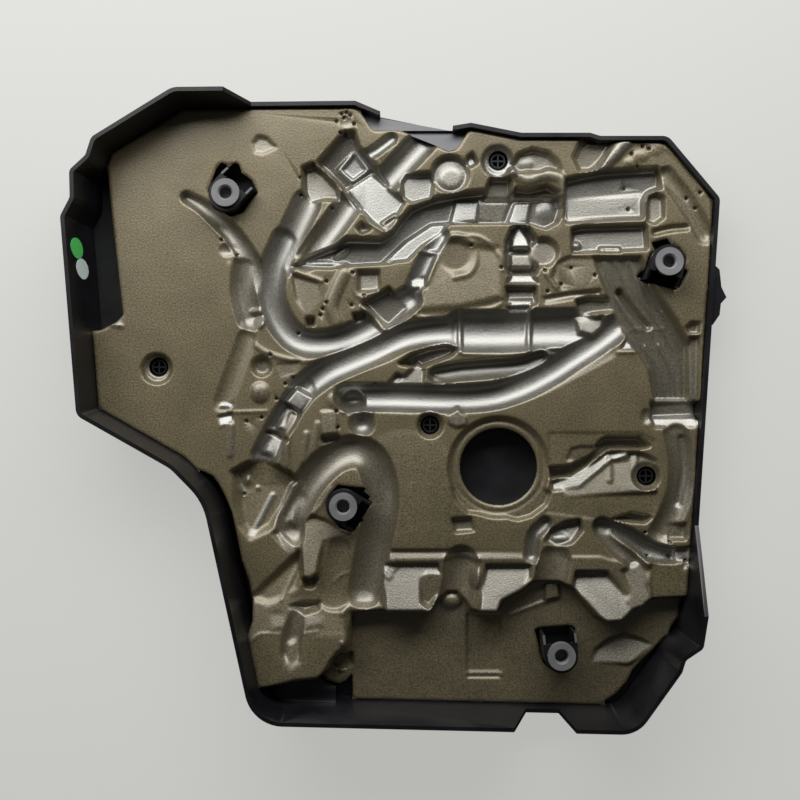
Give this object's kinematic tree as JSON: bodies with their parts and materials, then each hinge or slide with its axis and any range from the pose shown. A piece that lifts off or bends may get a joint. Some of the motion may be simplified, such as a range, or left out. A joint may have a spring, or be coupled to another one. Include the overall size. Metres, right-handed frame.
{
  "type": "engine cover",
  "caption": "Moulded plastic engine cover, engine side up, with an acoustic foam pad moulded round hoses and plugs, and rubber stud sockets in holders.",
  "frame": {"origin": "middle of the base of the whole part, on the flat outer face", "axes": "+Z from the outer face to the engine, +Y to the upper edge in the picture, +X to the right"},
  "size_m": [0.5228, 0.5001, 0.062],
  "materials": {
    "shell_plastic": "moulded black, fine grain",
    "acoustic_foam": "moulded integral skin, satin khaki",
    "grommet_rubber": "moulded rubber",
    "green_paper": "printed sticker",
    "white_paper": "printed sticker"
  },
  "bodies": {
    "root": {"cover_shell": "shell_plastic", "foam_pad": "acoustic_foam", "grommet_upper_left": "grommet_rubber", "grommet_upper_right": "grommet_rubber", "grommet_middle": "grommet_rubber", "grommet_lower_right": "grommet_rubber", "green_sticker": "green_paper", "white_sticker": "white_paper"}
  },
  "joints": []
}
